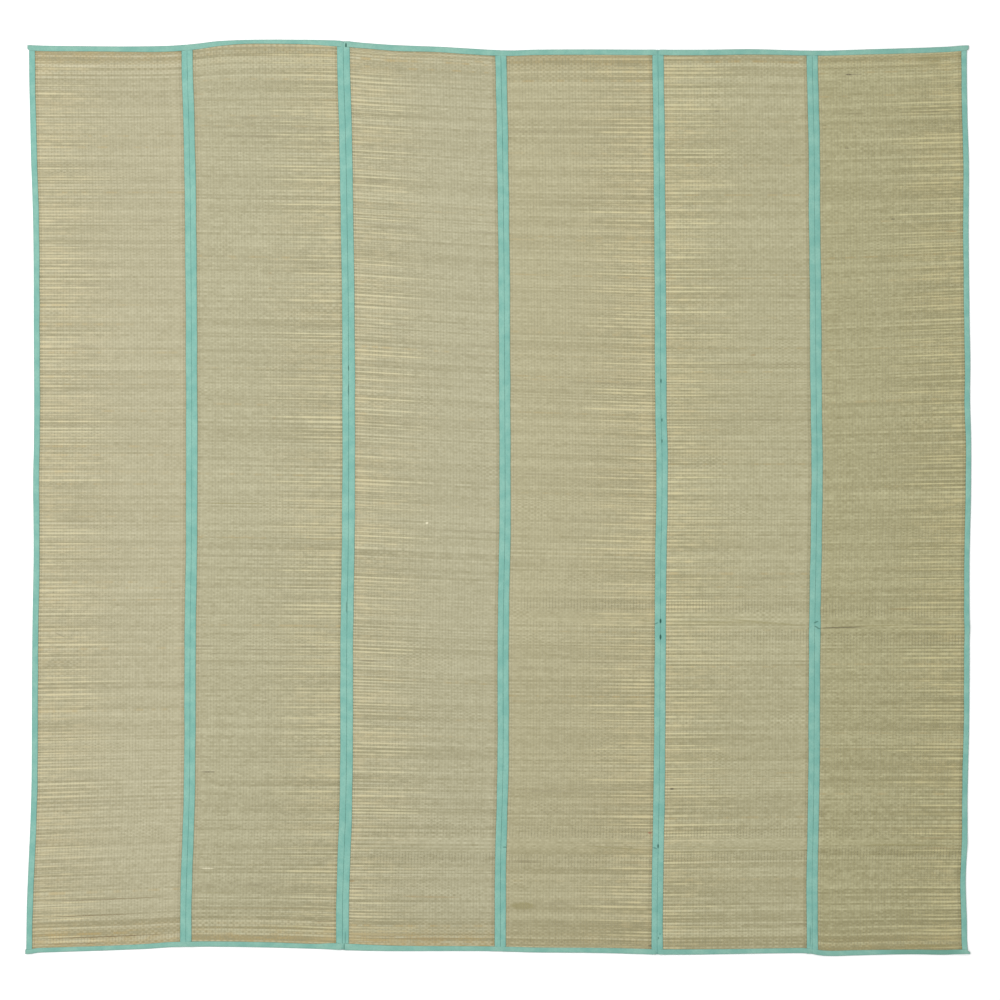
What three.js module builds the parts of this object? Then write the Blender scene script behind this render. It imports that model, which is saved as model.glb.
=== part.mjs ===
import * as THREE from 'three';

// A straw beach mat lying open: six woven straw panels side by side, tape folded over each long edge,
// and one tape folded over all the panel ends at the head (+Y) and one at the foot (-Y).
// Millimetres, +Z up, standing on z = 0, with the middle of its outline over the origin.

// Layers
const STRAW = 1.8;
const TAPE = 0.5;
const GAP = 0.3;
const LAP = TAPE + GAP;

// From the middle to an end, about which the ends wander
const HALF_LENGTH = 866;

// How far the end tapes reach in, and past a tape the margin and the stretch in which the straw settles to the floor
const END_TAPE = 9.5;
const MARGIN = 1;
const SETTLE = 13;

// The outer edges and the seams between the panels, from left to right: where each runs at mid length,
// how far it drifts sideways at the head and at the foot, and how far its tape reaches in from it
const LINES = [
  { x: -887.7, atHead: -9.5, atFoot: -13.5, tape: 10.3 },
  { x: -587, atHead: -9.5, atFoot: -11.5, tape: 10.6 },
  { x: -287, atHead: -10.5, atFoot: -12.5, tape: 11.9 },
  { x: 11.1, atHead: -7.5, atFoot: -8.5, tape: 10.5 },
  { x: 310.2, atHead: -6.5, atFoot: -8.5, tape: 10.5 },
  { x: 606.7, atHead: -8.5, atFoot: -9.5, tape: 10.7 },
  { x: 901.6, atHead: -6.5, atFoot: -8, tape: 10.4 },
];
const PANELS = LINES.length - 1;

// The share of that drift which shows at each height on the mat
const DRIFT = [
  { y: -876, share: 1 },
  { y: -770, share: 0.98 },
  { y: -700, share: 0.8 },
  { y: -620, share: 0.55 },
  { y: -540, share: 0.38 },
  { y: -240, share: 0.22 },
  { y: -80, share: 0 },
  { y: 380, share: 0 },
  { y: 530, share: 0.25 },
  { y: 700, share: 0.6 },
  { y: 866, share: 1 },
];

// The uneven ends
const HEAD = [
  { x: -900, y: 864 },
  { x: -640, y: 864 },
  { x: -590, y: 866.5 },
  { x: -535, y: 873 },
  { x: -370, y: 875.5 },
  { x: -310, y: 874 },
  { x: -250, y: 869 },
  { x: -200, y: 865.5 },
  { x: -110, y: 862 },
  { x: -50, y: 858.5 },
  { x: 14, y: 855 },
  { x: 70, y: 856.5 },
  { x: 400, y: 856.5 },
  { x: 480, y: 857.5 },
  { x: 610, y: 854.5 },
  { x: 700, y: 857 },
  { x: 855, y: 862.5 },
  { x: 900, y: 866.5 },
];
const FOOT = [
  { x: -905, y: -869 },
  { x: -861, y: -868 },
  { x: -740, y: -864 },
  { x: -677, y: -861.5 },
  { x: -620, y: -858 },
  { x: -520, y: -857.5 },
  { x: -370, y: -860.5 },
  { x: -250, y: -865 },
  { x: 0, y: -866 },
  { x: 60, y: -868 },
  { x: 180, y: -869 },
  { x: 330, y: -872.5 },
  { x: 546, y: -869.8 },
  { x: 592, y: -870 },
  { x: 622, y: -874.5 },
  { x: 680, y: -874.5 },
  { x: 850, y: -873 },
  { x: 900, y: -870 },
];

// How far each end tape stands out past the side edges as an ear
const EARS = { headLeft: 3, headRight: 4, footLeft: 3, footRight: 5 };

// Soft ridges where the mat was folded crosswise: height on the mat at x = 0, slope, and where each starts
const CREASES = [
  { y: -218, slope: -0.033, start: 0, rise: 2.2 },
  { y: -665, slope: 0.005, start: -290, rise: 1.8 },
];
const CREASE_REACH = 24;
const CREASE_FADE = 110;

// Heights on the mat, between the ends and the creases, at which its pieces have a row of points
const PLAIN_ROWS = [-820, -750, -580, -450, -320, -120, 0, 200, 400, 600, 800];

// Places across a panel, between its tapes, at which it has a column of points
const INNER_SHARES = [0.27, 0.5, 0.73];

const straw = new THREE.MeshStandardMaterial({ color: 0xbbb694, roughness: 0.75, metalness: 0 });
const tape = new THREE.MeshStandardMaterial({ color: 0x8ec8b6, roughness: 0.9, metalness: 0 });

// The smooth curve through a table's rows
function curve(rows, from, to) {
  const places = rows.map((row) => row[from]);
  const values = rows.map((row) => row[to]);
  const through = new THREE.CubicInterpolant(places, values, 1);
  return (place) => through.evaluate(place)[0];
}

const drift = curve(DRIFT, 'y', 'share');
const headY = curve(HEAD, 'x', 'y');
const footY = curve(FOOT, 'x', 'y');

// A seam or edge at a height on the mat
function lineX(line, y) {
  return line.x + (y > 0 ? line.atHead : line.atFoot) * drift(y);
}

// The two faces that a panel and its side tapes keep to, half a gap off a seam and right on an outer edge
function leftX(panel, y) {
  return lineX(LINES[panel], y) + (panel === 0 ? 0 : GAP / 2);
}
function rightX(panel, y) {
  return lineX(LINES[panel + 1], y) - (panel === PANELS - 1 ? 0 : GAP / 2);
}

// How high the creases lift everything at a place
function creaseLift(x, y) {
  let lift = 0;
  for (const { y: middle, slope, start, rise } of CREASES) {
    const off = Math.min(1, Math.abs(y - middle - slope * x) / CREASE_REACH);
    const along = THREE.MathUtils.smoothstep(x, start, start + CREASE_FADE);
    lift += rise * along * Math.cos((off * Math.PI) / 2) ** 2;
  }
  return lift;
}

// One lap of tape under a piece lifts it by LAP, which it settles from beyond the tape
function lapLift(distance, reach) {
  return LAP * THREE.MathUtils.clamp(1 - (distance - reach - MARGIN) / SETTLE, 0, 1);
}

function endLift(x, y) {
  const distance = Math.min(headY(x) - y, y - footY(x));
  return lapLift(distance, END_TAPE);
}

// The rows of points, from foot to head: beside the ends they follow the end, and at a crease they follow the crease
const END_STEPS = [LAP, END_TAPE + MARGIN, END_TAPE + MARGIN + SETTLE];
const rows = [
  ...END_STEPS.map((step) => ({ near: -HALF_LENGTH, at: (x) => footY(x) + step })),
  ...END_STEPS.map((step) => ({ near: HALF_LENGTH, at: (x) => headY(x) - step })).reverse(),
  ...PLAIN_ROWS.map((y) => ({ near: y, at: () => y })),
  ...CREASES.flatMap(({ y, slope }) =>
    [-1, -0.5, 0, 0.5, 1].map((step) => {
      const near = y + step * CREASE_REACH;
      return { near, at: (x) => near + slope * x };
    }),
  ),
].sort((one, other) => one.near - other.near);

// The columns of points across a panel, from its left side to its right one, the first and last this far in
function columns(panel, inset) {
  const sides = [LINES[panel].tape, LINES[panel + 1].tape].map((reach) => [
    inset,
    reach + MARGIN,
    reach + MARGIN + SETTLE,
  ]);
  return [
    ...sides[0].map((inward) => (y) => leftX(panel, y) + inward),
    ...INNER_SHARES.map((share) => (y) => THREE.MathUtils.lerp(leftX(panel, y), rightX(panel, y), share)),
    ...sides[1].map((inward) => (y) => rightX(panel, y) - inward).reverse(),
  ];
}

// How high the side tapes under a panel lift it
function sideLift(panel, x, y) {
  const left = lapLift(x - leftX(panel, y), LINES[panel].tape);
  const right = lapLift(rightX(panel, y) - x, LINES[panel + 1].tape);
  return Math.max(left, right);
}

// A closed body on a grid: place(i, j, k) gives the point in column i and row j, on side 0 or 1
function gridBody(name, material, across, along, place) {
  const geometry = new THREE.BoxGeometry(across, along, 1, across, along, 1);
  geometry.translate(across / 2, along / 2, 0.5);
  const corners = geometry.attributes.position;
  const corner = new THREE.Vector3();
  for (let n = 0; n < corners.count; n += 1) {
    corner.fromBufferAttribute(corners, n).round();
    corners.setXYZ(n, ...place(corner.x, corner.y, corner.z));
  }
  geometry.computeVertexNormals();
  const body = new THREE.Mesh(geometry, material);
  body.name = name;
  return body;
}

// A tape's folded section: four steps from the edge of its under leg, round the fold, to that of its upper leg
const FOLD_STEPS = 3;
function fold(step, side, reach, height) {
  const skin = side === 1 ? 0 : TAPE;
  return {
    inward: step === 0 || step === FOLD_STEPS ? reach : skin,
    level: step < FOLD_STEPS / 2 ? skin : height - skin,
  };
}

function strawPanel(panel) {
  const placed = columns(panel, LAP);
  return gridBody(`panel_${panel + 1}`, straw, placed.length - 1, rows.length - 1, (i, j, k) => {
    const x = placed[i](rows[j].near);
    const y = rows[j].at(x);
    const under = creaseLift(x, y) + endLift(x, y) + sideLift(panel, x, rows[j].near);
    return [x, y, under + k * STRAW];
  });
}

// A side tape, folded over the left or the right edge of a panel
function sideTape(panel, onRight) {
  const name = `binding_${panel + 1}_${onRight ? 'right' : 'left'}`;
  const reach = LINES[onRight ? panel + 1 : panel].tape;
  const height = STRAW + 2 * LAP;
  return gridBody(name, tape, FOLD_STEPS, rows.length - 1, (i, j, k) => {
    const { inward, level } = fold(onRight ? FOLD_STEPS - i : i, k, reach, height);
    const { near, at } = rows[j];
    const x = onRight ? rightX(panel, near) - inward : leftX(panel, near) + inward;
    const y = at(x);
    return [x, y, creaseLift(x, y) + endLift(x, y) + level];
  });
}

// An end tape, folded over the ends of all the panels and standing higher over the side tapes
function endTape(atHead) {
  const near = atHead ? HALF_LENGTH : -HALF_LENGTH;
  const ears = atHead ? [EARS.headLeft, EARS.headRight] : [EARS.footLeft, EARS.footRight];
  const placed = [{ x: leftX(0, near) - ears[0], under: LAP }];
  for (let panel = 0; panel < PANELS; panel += 1) {
    for (const column of columns(panel, 0)) {
      const x = column(near);
      placed.push({ x, under: sideLift(panel, x, near) });
    }
  }
  placed.push({ x: rightX(PANELS - 1, near) + ears[1], under: LAP });
  const name = atHead ? 'binding_head' : 'binding_foot';
  return gridBody(name, tape, placed.length - 1, FOLD_STEPS, (i, j, k) => {
    const { x, under } = placed[i];
    const height = STRAW + 2 * LAP + 2 * under;
    const { inward, level } = fold(atHead ? FOLD_STEPS - j : j, k, END_TAPE, height);
    return [x, atHead ? headY(x) - inward : footY(x) + inward, level];
  });
}

const mat = new THREE.Group();
for (let panel = 0; panel < PANELS; panel += 1) {
  mat.add(strawPanel(panel), sideTape(panel, false), sideTape(panel, true));
}
mat.add(endTape(true), endTape(false));

// The tables are measured from a point near the middle: this puts the middle of the outline over the origin
const middle = new THREE.Box3().setFromObject(mat).getCenter(new THREE.Vector3());
mat.position.set(-middle.x, -middle.y, 0);
mat.updateMatrixWorld(true);

export default mat;
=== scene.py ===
from collections import namedtuple
from math import pi

import bpy
import numpy as np
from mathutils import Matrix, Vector


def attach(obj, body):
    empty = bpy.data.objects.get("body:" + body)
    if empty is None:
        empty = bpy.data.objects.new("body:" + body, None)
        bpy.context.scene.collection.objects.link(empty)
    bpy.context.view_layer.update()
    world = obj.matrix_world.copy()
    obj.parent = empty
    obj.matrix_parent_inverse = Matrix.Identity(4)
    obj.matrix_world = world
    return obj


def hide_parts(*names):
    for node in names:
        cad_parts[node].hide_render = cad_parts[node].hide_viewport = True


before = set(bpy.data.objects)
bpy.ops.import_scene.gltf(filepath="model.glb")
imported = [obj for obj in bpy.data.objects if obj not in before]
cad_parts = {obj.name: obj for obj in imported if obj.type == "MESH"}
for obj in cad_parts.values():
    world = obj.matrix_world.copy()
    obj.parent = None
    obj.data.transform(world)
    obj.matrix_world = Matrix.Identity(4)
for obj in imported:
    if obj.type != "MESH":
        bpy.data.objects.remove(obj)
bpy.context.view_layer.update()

# Sizes are in millimetres, and MM turns them into the metres that the scene is built in
MM = 0.001

# The photograph: a pixel's size on the mat, the pixel where the tables below have their origin, and its side
PHOTO_MM = 1.911
PHOTO_MIDDLE = (498.5, 498.0)
PHOTO_SIDE = 1000

PANELS = 6

# Layers: woven straw, one layer of tape, and the space between neighbouring pieces
STRAW = 1.8
TAPE = 0.5
GAP = 0.3
LAP = TAPE + GAP
FOLDED = STRAW + 2 * LAP

# How far in the solids' end tapes reach, and past a tape the margin and the stretch in which straw settles
END_TAPE = 9.5
MARGIN = 1
SETTLE = 13

# The weave: the pitch of straws and of warp threads, how finely their rods are made, and a thread's radius
STRAW_PITCH = 3.45
WARP_PITCH = 5.9
STRAW_SIDES = 6
STRAW_STEPS = 16
WARP_SIDES = 3
WARP_STEPS = 60
WARP_RADIUS = 0.25

# The outer edges and the seams, from left to right: x at mid length, its drift at the head and at the foot,
# how far the tape reaches in from it, how deep its fold is rounded, and (y, x off) rows where it sways
Line = namedtuple("Line", "x at_head at_foot tape fold sway")
LINES = [
    Line(-888.3, -9.5, -13.5, 11.6, 1.1, [
        (-866, -0.8), (-806, -0.2), (-730, 0.6), (-577, 0.9), (-424, 0.3), (-110, 0), (34, -2),
        (110, -0.6), (340, -0.5), (520, 0.9), (575, 0.5), (650, -0.7), (780, -0.4), (866, 0.4),
    ]),
    Line(-586.6, -9.5, -11.5, 10.8, 0.25, [
        (-640, 0.6), (-480, 0.4), (0, -0.3), (400, -0.5), (600, 0.8), (800, 0.8),
    ]),
    Line(-286.7, -10.5, -12.5, 12.2, 0.35, [
        (-806, 1.1), (-640, 0.8), (-480, 0.3), (0, -0.4), (400, -0.5), (700, 0.5),
    ]),
    Line(11.5, -7.5, -8.5, 10.7, 0.45, [
        (-806, 0.6), (-654, -1), (-500, 0.2), (-330, -0.3), (-240, -0.4), (-150, 0), (-40, 0.9),
        (60, 0.6), (160, 0), (340, -0.5), (500, 0), (800, 0.6),
    ]),
    Line(310.6, -6.5, -8.5, 10.9, 0.25, [
        (-860, 1.2), (-740, 1.2), (-640, 0.3), (-400, 0.3), (-271, 0.9), (-195, 0.2), (-100, 0),
        (-30, 1.3), (90, 1.4), (150, -0.3), (640, -0.3), (800, 0.5),
    ]),
    Line(607.2, -8.5, -9.5, 10.8, 0.25, [
        (-866, 2), (-800, 2), (-700, 0.2), (-100, 0), (-10, 0.8), (80, 1.2), (180, -0.6), (520, -1),
        (700, 0.8),
    ]),
    Line(901.2, -6.5, -8, 10.6, 1.1, [
        (-866, 3.6), (-850, 2.8), (-806, 2.1), (-730, -0.9), (-654, 0.3), (-570, -1.2), (-420, 1),
        (-250, 1.2), (-120, -0.4), (20, 1.7), (110, 1.7), (187, -0.4), (264, 0.3), (325, -0.8),
        (500, -1.2), (645, 1), (722, -0.3), (866, 0.4),
    ]),
]
HALF_LENGTH = 866
STRAWS = round(2 * HALF_LENGTH / STRAW_PITCH)

# (y, share of the drift there)
DRIFT = [
    (-876, 1), (-770, 0.98), (-700, 0.8), (-620, 0.55), (-540, 0.38), (-240, 0.22),
    (-80, 0), (380, 0), (530, 0.25), (700, 0.6), (866, 1),
]

# (x, y) along the uneven ends
HEAD = [
    (-900, 865.6), (-880, 865), (-840, 864.3), (-640, 864.2), (-590, 867), (-535, 873.5), (-370, 876),
    (-310, 874.5), (-250, 869.5), (-200, 866), (-110, 862.5), (-50, 859), (14, 855.5), (70, 857),
    (400, 857), (480, 858), (610, 855), (700, 857.5), (855, 862.6), (900, 865.2),
]
FOOT = [
    (-905, -871.5), (-893, -871.2), (-884, -869.5), (-861, -868.5), (-740, -864.5), (-677, -862),
    (-620, -858.5), (-520, -858), (-370, -861), (-250, -865.5), (0, -866.5), (60, -868.5), (180, -869.5),
    (330, -873), (546, -870.3), (592, -870.5), (622, -875), (680, -874.5), (730, -873), (800, -872.2),
    (850, -873), (900, -871.5),
]

# (x, how far the end tape reaches in there)
HEAD_REACH = [
    (-900, 11), (-740, 10.2), (-620, 11.6), (-555, 10.8), (-490, 7.9), (-430, 8.2), (-370, 8.9),
    (-310, 11.6), (-250, 10.8), (-190, 11.6), (-130, 10.6), (-60, 11.4), (60, 10.6), (480, 10.6),
    (545, 9.8), (740, 10.2), (900, 10.6),
]
FOOT_REACH = [
    (-900, 9.2), (-740, 9), (-610, 10.3), (-430, 10.1), (-350, 9.7), (-310, 12.9), (-250, 11.9),
    (-190, 10.5), (-70, 9.5), (60, 9.7), (180, 9.9), (250, 10.5), (380, 10.4), (480, 9.7), (670, 10.3),
    (740, 9.4), (850, 9.3),
]

# Soft ridges where the mat was folded crosswise: y at x = 0, slope, where each starts, and its height
Crease = namedtuple("Crease", "y slope start rise")
CREASES = [Crease(-218, -0.033, 0, 2.2), Crease(-665, 0.005, -290, 1.8)]
CREASE_REACH = 24
CREASE_FADE = 110

# How the straws lean in each panel, in degrees up to the right, at these heights on the mat
LEAN_AT = (-760, -380, 0, 380, 760)
LEANS = [
    (2.3, 0.9, 0, 0, 0),
    (0, -0.3, -1, -1, -0.8),
    (-0.2, -2, -2.9, -3.7, -3.2),
    (-0.4, -0.6, -1.5, -1.8, -0.2),
    (0.9, 0.2, 0, 0, 0),
    (0, 0, 1, 2.4, 1.2),
]


def curve(rows):
    """The smooth curve through (place, value) rows, level at both of its ends."""
    places, values = np.array(rows, float).T
    secants = np.diff(values) / np.diff(places)
    slopes = np.concatenate([[0], (secants[1:] + secants[:-1]) / 2, [0]])

    def at(place):
        place = np.clip(place, places[0], places[-1])
        row = np.clip(np.searchsorted(places, place) - 1, 0, len(places) - 2)
        span = places[row + 1] - places[row]
        t = (place - places[row]) / span
        level = values[row] * (1 + 2 * t) * (1 - t) ** 2 + values[row + 1] * t**2 * (3 - 2 * t)
        return level + span * t * (1 - t) * (slopes[row] * (1 - t) - slopes[row + 1] * t)

    return at


drift = curve(DRIFT)
head_y = curve(HEAD)
foot_y = curve(FOOT)


def smooth(value, low, high):
    """0 below low and 1 above high, with a soft step between."""
    t = np.clip((value - low) / (high - low), 0, 1)
    return t * t * (3 - 2 * t)


def mix(low, high, share):
    return low + (high - low) * share


def line_x(line, y):
    """A seam or an edge at a height on the mat."""
    return line.x + np.where(y > 0, line.at_head, line.at_foot) * drift(y) + curve(line.sway)(y)


def left_x(panel, y):
    """A panel's left side: half a gap off its seam, or right on the mat's edge."""
    return line_x(LINES[panel], y) + (0 if panel == 0 else GAP / 2)


def right_x(panel, y):
    return line_x(LINES[panel + 1], y) - (0 if panel == PANELS - 1 else GAP / 2)


def crease_lift(x, y):
    """How high the creases lift everything at a place."""
    lift = 0
    for crease in CREASES:
        off = np.minimum(1, np.abs(y - crease.y - crease.slope * x) / CREASE_REACH)
        along = smooth(x, crease.start, crease.start + CREASE_FADE)
        lift = lift + crease.rise * along * np.cos(off * pi / 2) ** 2
    return lift


def lap_lift(distance, reach):
    """One lap of tape under a piece lifts it, and the piece settles to the floor beyond the tape."""
    return LAP * np.clip(1 - (distance - reach - MARGIN) / SETTLE, 0, 1)


def end_lift(x, y):
    return lap_lift(np.minimum(head_y(x) - y, y - foot_y(x)), END_TAPE)


def side_lift(panel, x, y):
    """How high the side tapes under a panel lift it."""
    left = lap_lift(x - left_x(panel, y), LINES[panel].tape)
    return np.maximum(left, lap_lift(right_x(panel, y) - x, LINES[panel + 1].tape))


def straw_width(panel):
    """From fold to fold of a panel's two side tapes, inside them."""
    return LINES[panel + 1].x - LINES[panel].x - 2 * LAP


def warp_count(panel):
    return round(straw_width(panel) / WARP_PITCH)


# The middle of the outline, where the frame has its origin, in the coordinates of the tables above
MIDDLE = (-1.0177, 0.6205, 0)


def metres(x, y, z):
    """Points in the frame, from millimetres on the mat."""
    return (np.stack(np.broadcast_arrays(x, y, z), -1).astype(float) - MIDDLE) * MM


def photo_place(px, py):
    """Millimetres on the mat of a pixel of the photograph."""
    return (px - PHOTO_MIDDLE[0]) * PHOTO_MM, (PHOTO_MIDDLE[1] - py) * PHOTO_MM


class Wire:
    """A value in a node tree, on which Python's operators add Math nodes."""

    def __init__(self, tree, socket):
        self.tree = tree
        self.socket = socket

    def maths(self, operation, *values):
        return self.tree.node("ShaderNodeMath", {"operation": operation}, dict(enumerate(values)))

    def __add__(self, other):
        return self.maths("ADD", self, other)

    def __sub__(self, other):
        return self.maths("SUBTRACT", self, other)

    def __rsub__(self, other):
        return self.maths("SUBTRACT", other, self)

    def __mul__(self, other):
        return self.maths("MULTIPLY", self, other)

    def __truediv__(self, other):
        return self.maths("DIVIDE", self, other)

    def __rtruediv__(self, other):
        return self.maths("DIVIDE", other, self)

    def __pow__(self, other):
        return self.maths("POWER", self, other)

    def __mod__(self, other):
        return self.maths("FLOORED_MODULO", self, other)

    def __gt__(self, other):
        return self.maths("GREATER_THAN", self, other)

    __radd__ = __add__
    __rmul__ = __mul__

    def sine(self):
        return self.maths("SINE", self)

    def size(self):
        return self.maths("ABSOLUTE", self)

    def within(self, low, high):
        """0 below low and 1 above high, with a soft step between."""
        settings = {"interpolation_type": "SMOOTHSTEP"}
        values = {"Value": self, "From Min": low, "From Max": high}
        return self.tree.node("ShaderNodeMapRange", settings, values)

    def parts(self):
        node = self.tree.node("ShaderNodeSeparateXYZ", {}, {"Vector": self}).socket.node
        return [Wire(self.tree, socket) for socket in node.outputs]


class Tree:
    """A node tree, built by node()."""

    def __init__(self, tree):
        self.tree = tree

    def node(self, kind, settings=None, values=None, output=None):
        """Adds a node, and returns the Wire from the output of that name, or from its first one in use."""
        node = self.tree.nodes.new(kind)
        for name, setting in (settings or {}).items():
            setattr(node, name, setting)
        for key, value in (values or {}).items():
            sockets = [s for s in node.inputs if s.enabled]
            socket = sockets[key] if isinstance(key, int) else next(s for s in sockets if s.name == key)
            for one in value if isinstance(value, list) else [value]:
                if isinstance(one, Wire):
                    self.tree.links.new(one.socket, socket)
                else:
                    socket.default_value = one
        wanted = [s for s in node.outputs if s.enabled and output in (None, s.name)]
        return Wire(self, wanted[0]) if wanted else None

    def vector(self, x=0.0, y=0.0, z=0.0):
        return self.node("ShaderNodeCombineXYZ", {}, {"X": x, "Y": y, "Z": z})

    def blend(self, share, low, high):
        """Low where share is 0 and high where it is 1, for colours."""
        return self.node("ShaderNodeMix", {"data_type": "RGBA"}, {"Factor": share, "A": low, "B": high})

    def noise(self, vector, scale, detail=2.0):
        return self.node("ShaderNodeTexNoise", {}, {"Vector": vector, "Scale": scale, "Detail": detail})


class Shapes(Tree):
    """A Geometry Nodes tree with named inputs."""

    def __init__(self, name, sizes):
        super().__init__(bpy.data.node_groups.new(name, "GeometryNodeTree"))
        add = self.tree.interface.new_socket
        add(name="Geometry", in_out="INPUT", socket_type="NodeSocketGeometry")
        for size, kind in sizes.items():
            add(name=size, in_out="INPUT", socket_type=f"NodeSocket{kind}")
        add(name="Geometry", in_out="OUTPUT", socket_type="NodeSocketGeometry")
        entry = self.tree.nodes.new("NodeGroupInput")
        self.given = {socket.name: Wire(self, socket) for socket in entry.outputs if socket.name}

    def attribute(self, name):
        return self.node("GeometryNodeInputNamedAttribute", {"data_type": "FLOAT"}, {"Name": name})

    def store(self, geometry, name, value):
        values = {"Geometry": geometry, "Name": name, "Value": value}
        return self.node("GeometryNodeStoreNamedAttribute", {"data_type": "FLOAT", "domain": "POINT"}, values)

    def rod(self, sides, steps):
        """A rod of radius 1 along z, from -0.5 to 0.5."""
        values = {"Vertices": sides, "Side Segments": steps, "Radius": 1.0, "Depth": 1.0}
        return self.node("GeometryNodeMeshCylinder", {}, values, "Mesh")

    def copies(self, line, rod):
        """The rod at each point of the line, with what each of the line's points holds."""
        copies = self.node("GeometryNodeInstanceOnPoints", {}, {"Points": line, "Instance": rod})
        return self.node("GeometryNodeRealizeInstances", {}, {"Geometry": copies})

    def move(self, geometry, x=0.0, y=0.0, z=0.0):
        values = {"Geometry": geometry, "Position": self.vector(x, y, z)}
        return self.node("GeometryNodeSetPosition", {}, values)

    def shade_smooth(self, geometry):
        return self.node("GeometryNodeSetShadeSmooth", {}, {"Geometry": geometry, "Shade Smooth": True})

    def dress(self, geometry, material):
        return self.node("GeometryNodeSetMaterial", {}, {"Geometry": geometry, "Material": material})

    def chance(self, ident, seed):
        """A fixed random number from 0 to 1 for each ident."""
        values = {"Vector": self.vector(ident, seed)}
        return self.node("ShaderNodeTexWhiteNoise", {"noise_dimensions": "2D"}, values, "Value")

    def finish(self, parts):
        joined = self.node("GeometryNodeJoinGeometry", {}, {"Geometry": parts})
        self.node("NodeGroupOutput", {}, {"Geometry": joined})
        return self.tree


def grow(name, tree, **inputs):
    """The plain piece that a Geometry Nodes tree makes."""
    holder = bpy.data.objects.new(name + "_holder", bpy.data.meshes.new(name + "_holder"))
    bpy.context.collection.objects.link(holder)
    modifier = holder.modifiers.new("Shapes", "NODES")
    modifier.node_group = tree
    for socket in tree.interface.items_tree:
        if socket.in_out == "INPUT" and socket.name in inputs:
            modifier[socket.identifier] = inputs[socket.name]
    depsgraph = bpy.context.evaluated_depsgraph_get()
    mesh = bpy.data.meshes.new_from_object(holder.evaluated_get(depsgraph), depsgraph=depsgraph)
    bpy.data.objects.remove(holder)
    return shown(name, mesh)


def shown(name, mesh):
    mesh.name = name
    piece = bpy.data.objects.new(name, mesh)
    bpy.context.collection.objects.link(piece)
    return piece


# How the straws vary, in shares of their pitch across them and of the weave's thickness in height. The line
# between two straws wanders along them and jumps from one to the next, and a straw swells here and there.
# At a panel's coarse side straws lose width and height, but every second one, at its butt, gains more.
WANDER = 0.3
JUMP = 0.1
BUTT_JUMP = 0.4
HALF_WIDTH = 0.56
HALF_HEIGHT = 0.37
BUTT_GROWTH = 0.14
BUTT_WIDTH_LOSS = 0.06
BUTT_HEIGHT_LOSS = 0.04
SWELL = 0.04
BUTT_SWELL = 0.08
BUTT_STARTS = 0.3

# How full the shoulders of a straw's section are, and how much less so on the coarse side
FULL_SHOULDER = 0.7
BUTT_SHOULDER = 0.35

# How far a warp thread lies off the weave's middle, in shares of its thickness, and strays, in its pitch
WARP_LEVEL = 0.38
WARP_STRAY = 0.2


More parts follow.
